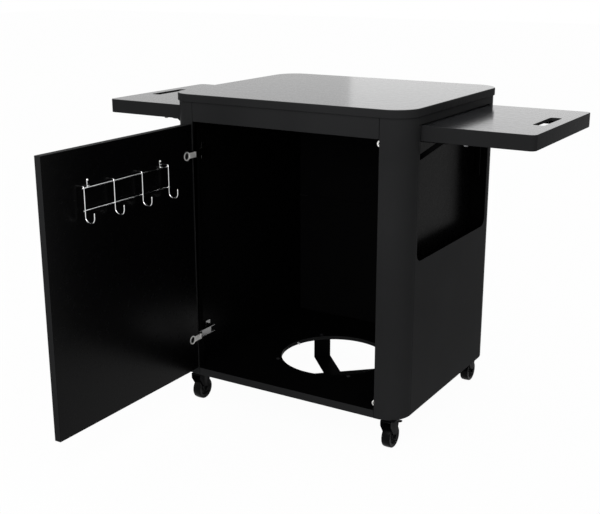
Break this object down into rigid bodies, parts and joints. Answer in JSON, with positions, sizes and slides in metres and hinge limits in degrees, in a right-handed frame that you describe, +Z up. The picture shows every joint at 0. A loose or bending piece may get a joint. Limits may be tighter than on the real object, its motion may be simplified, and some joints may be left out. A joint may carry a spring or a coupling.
{
  "type": "grill cart",
  "caption": "Sheet metal grill cart on swivel casters: cabinet with a swing door, hook rack, gas bottle tray, side bins and fold-down side shelves.",
  "frame": {"origin": "on the floor, below the middle of the cabinet's footprint", "axes": "+X to the cart's right, along the side shelves; +Y to the back; +Z up; the door stands open towards -Y"},
  "size_m": [1.3058, 1.1952, 0.914],
  "materials": {
    "black_paint": "satin black powder coat",
    "inner_paint": "satin black powder coat, inside",
    "worktop_paint": "satin black powder coat on the worktop and shelves",
    "nickel_plate": "nickel plated",
    "chrome_wire": "bright chrome plated wire",
    "zinc_plate": "zinc plated",
    "handle_steel": "brushed stainless steel",
    "caster_black": "black e-coat",
    "tyre_rubber": "moulded black rubber",
    "hub_plastic": "moulded grey plastic"
  },
  "bodies": {
    "cabinet": {"top_plate": "worktop_paint", "front_rail": "black_paint", "rear_rail": "black_paint", "side_rails": "black_paint", "post_front_right": "black_paint", "post_front_left": "black_paint", "rear_posts": "black_paint", "side_panel_right": "black_paint", "side_panel_left": "black_paint", "inner_walls": "inner_paint", "pocket_liners": "inner_paint", "back_panel_upper": "inner_paint", "back_panel_lower": "inner_paint", "base_pan": "black_paint", "tank_tray": "black_paint", "tray_bolts": "black_paint", "lock_screw_nut": "zinc_plate", "door_catches": "nickel_plate", "hinge_plates": "nickel_plate", "hinge_arms": "nickel_plate", "hinge_pins": "nickel_plate", "wall_leaves": "black_paint", "leaf_screws": "black_paint", "pivot_pins": "black_paint", "caster_plates": "caster_black"},
    "lock_screw": {"lock_screw": "zinc_plate"},
    "door": {"door_outer_skin": "black_paint", "door_inner_skin": "inner_paint", "door_stiffener": "zinc_plate", "door_handle": "handle_steel", "hinge_cups": "nickel_plate", "hook_rack": "chrome_wire", "rack_screws": "nickel_plate"},
    "right_shelf": {"shelf_pan_right": "worktop_paint", "shelf_arms_right": "black_paint", "arm_pins_right": "black_paint"},
    "left_shelf": {"shelf_pan_left": "worktop_paint", "shelf_arms_left": "black_paint", "arm_pins_left": "black_paint"},
    "right_struts": {"struts_right": "black_paint"},
    "left_struts": {"struts_left": "black_paint"},
    "right_front_lever": {"lever_right_front": "zinc_plate"},
    "right_rear_lever": {"lever_right_rear": "zinc_plate"},
    "left_front_lever": {"lever_left_front": "zinc_plate"},
    "left_rear_lever": {"lever_left_rear": "zinc_plate"},
    "caster_fr": {"fork_fr": "caster_black"},
    "wheel_fr": {"tyre_fr": "tyre_rubber", "hub_fr": "hub_plastic"},
    "caster_fl": {"fork_fl": "caster_black"},
    "wheel_fl": {"tyre_fl": "tyre_rubber", "hub_fl": "hub_plastic"},
    "caster_rr": {"fork_rr": "caster_black"},
    "wheel_rr": {"tyre_rr": "tyre_rubber", "hub_rr": "hub_plastic"},
    "caster_rl": {"fork_rl": "caster_black"},
    "wheel_rl": {"tyre_rl": "tyre_rubber", "hub_rl": "hub_plastic"},
    "brake_fr": {"pedal_fr": "caster_black"},
    "brake_fl": {"pedal_fl": "caster_black"}
  },
  "joints": [
    {"name": "door_swing", "type": "hinge", "parent": "cabinet", "child": "door", "pos_m": [-0.296, -0.303, 0.4775], "axis": [0, 0, 1], "range_deg": [-10, 90]},
    {"name": "lock_screw_travel", "type": "slide", "parent": "cabinet", "child": "lock_screw", "axis": [-0.9659, 0.2588, 0], "range_m": [-0.008, 0.008]},
    {"name": "right_shelf_fold", "type": "hinge", "parent": "cabinet", "child": "right_shelf", "pos_m": [0.343, 0, 0.85], "axis": [0, 1, 0], "range_deg": [0, 90]},
    {"name": "right_strut_fold", "type": "hinge", "parent": "right_shelf", "child": "right_struts", "pos_m": [0.412, 0, 0.832], "axis": [0, -1, 0], "range_deg": [0, 147.5]},
    {"name": "right_front_release", "type": "hinge", "parent": "right_shelf", "child": "right_front_lever", "pos_m": [0.452, -0.197, 0.846], "axis": [0, -1, 0], "range_deg": [0, 12], "stiffness_Nm_per_rad": 0.03, "springref_deg": -11.46},
    {"name": "right_rear_release", "type": "hinge", "parent": "right_shelf", "child": "right_rear_lever", "pos_m": [0.452, 0.197, 0.846], "axis": [0, -1, 0], "range_deg": [0, 12], "stiffness_Nm_per_rad": 0.03, "springref_deg": -11.46},
    {"name": "left_shelf_fold", "type": "hinge", "parent": "cabinet", "child": "left_shelf", "pos_m": [-0.343, 0, 0.85], "axis": [0, -1, 0], "range_deg": [0, 90]},
    {"name": "left_strut_fold", "type": "hinge", "parent": "left_shelf", "child": "left_struts", "pos_m": [-0.412, 0, 0.832], "axis": [0, 1, 0], "range_deg": [0, 147.5]},
    {"name": "left_front_release", "type": "hinge", "parent": "left_shelf", "child": "left_front_lever", "pos_m": [-0.452, -0.197, 0.846], "axis": [0, 1, 0], "range_deg": [0, 12], "stiffness_Nm_per_rad": 0.03, "springref_deg": -11.46},
    {"name": "left_rear_release", "type": "hinge", "parent": "left_shelf", "child": "left_rear_lever", "pos_m": [-0.452, 0.197, 0.846], "axis": [0, 1, 0], "range_deg": [0, 12], "stiffness_Nm_per_rad": 0.03, "springref_deg": -11.46},
    {"name": "caster_fr_swivel", "type": "hinge", "parent": "cabinet", "child": "caster_fr", "pos_m": [0.314, -0.27, 0.085], "axis": [0, 0, 1], "continuous": true},
    {"name": "wheel_fr_roll", "type": "hinge", "parent": "caster_fr", "child": "wheel_fr", "pos_m": [0.314, -0.261, 0.032], "axis": [1, 0, 0], "continuous": true},
    {"name": "caster_fl_swivel", "type": "hinge", "parent": "cabinet", "child": "caster_fl", "pos_m": [-0.314, -0.27, 0.085], "axis": [0, 0, 1], "continuous": true},
    {"name": "wheel_fl_roll", "type": "hinge", "parent": "caster_fl", "child": "wheel_fl", "pos_m": [-0.314, -0.261, 0.032], "axis": [1, 0, 0], "continuous": true},
    {"name": "caster_rr_swivel", "type": "hinge", "parent": "cabinet", "child": "caster_rr", "pos_m": [0.314, 0.27, 0.085], "axis": [0, 0, 1], "continuous": true},
    {"name": "wheel_rr_roll", "type": "hinge", "parent": "caster_rr", "child": "wheel_rr", "pos_m": [0.314, 0.279, 0.032], "axis": [1, 0, 0], "continuous": true},
    {"name": "caster_rl_swivel", "type": "hinge", "parent": "cabinet", "child": "caster_rl", "pos_m": [-0.314, 0.27, 0.085], "axis": [0, 0, 1], "continuous": true},
    {"name": "wheel_rl_roll", "type": "hinge", "parent": "caster_rl", "child": "wheel_rl", "pos_m": [-0.314, 0.279, 0.032], "axis": [1, 0, 0], "continuous": true},
    {"name": "brake_fr_press", "type": "hinge", "parent": "caster_fr", "child": "brake_fr", "pos_m": [0.314, -0.248, 0.069], "axis": [-1, 0, 0], "range_deg": [0, 12]},
    {"name": "brake_fl_press", "type": "hinge", "parent": "caster_fl", "child": "brake_fl", "pos_m": [-0.314, -0.248, 0.069], "axis": [-1, 0, 0], "range_deg": [0, 12]}
  ],
  "couplings": [
    {"joint": "right_strut_fold", "follows": "right_shelf_fold", "ratio": 1.638},
    {"joint": "left_strut_fold", "follows": "left_shelf_fold", "ratio": 1.638}
  ]
}
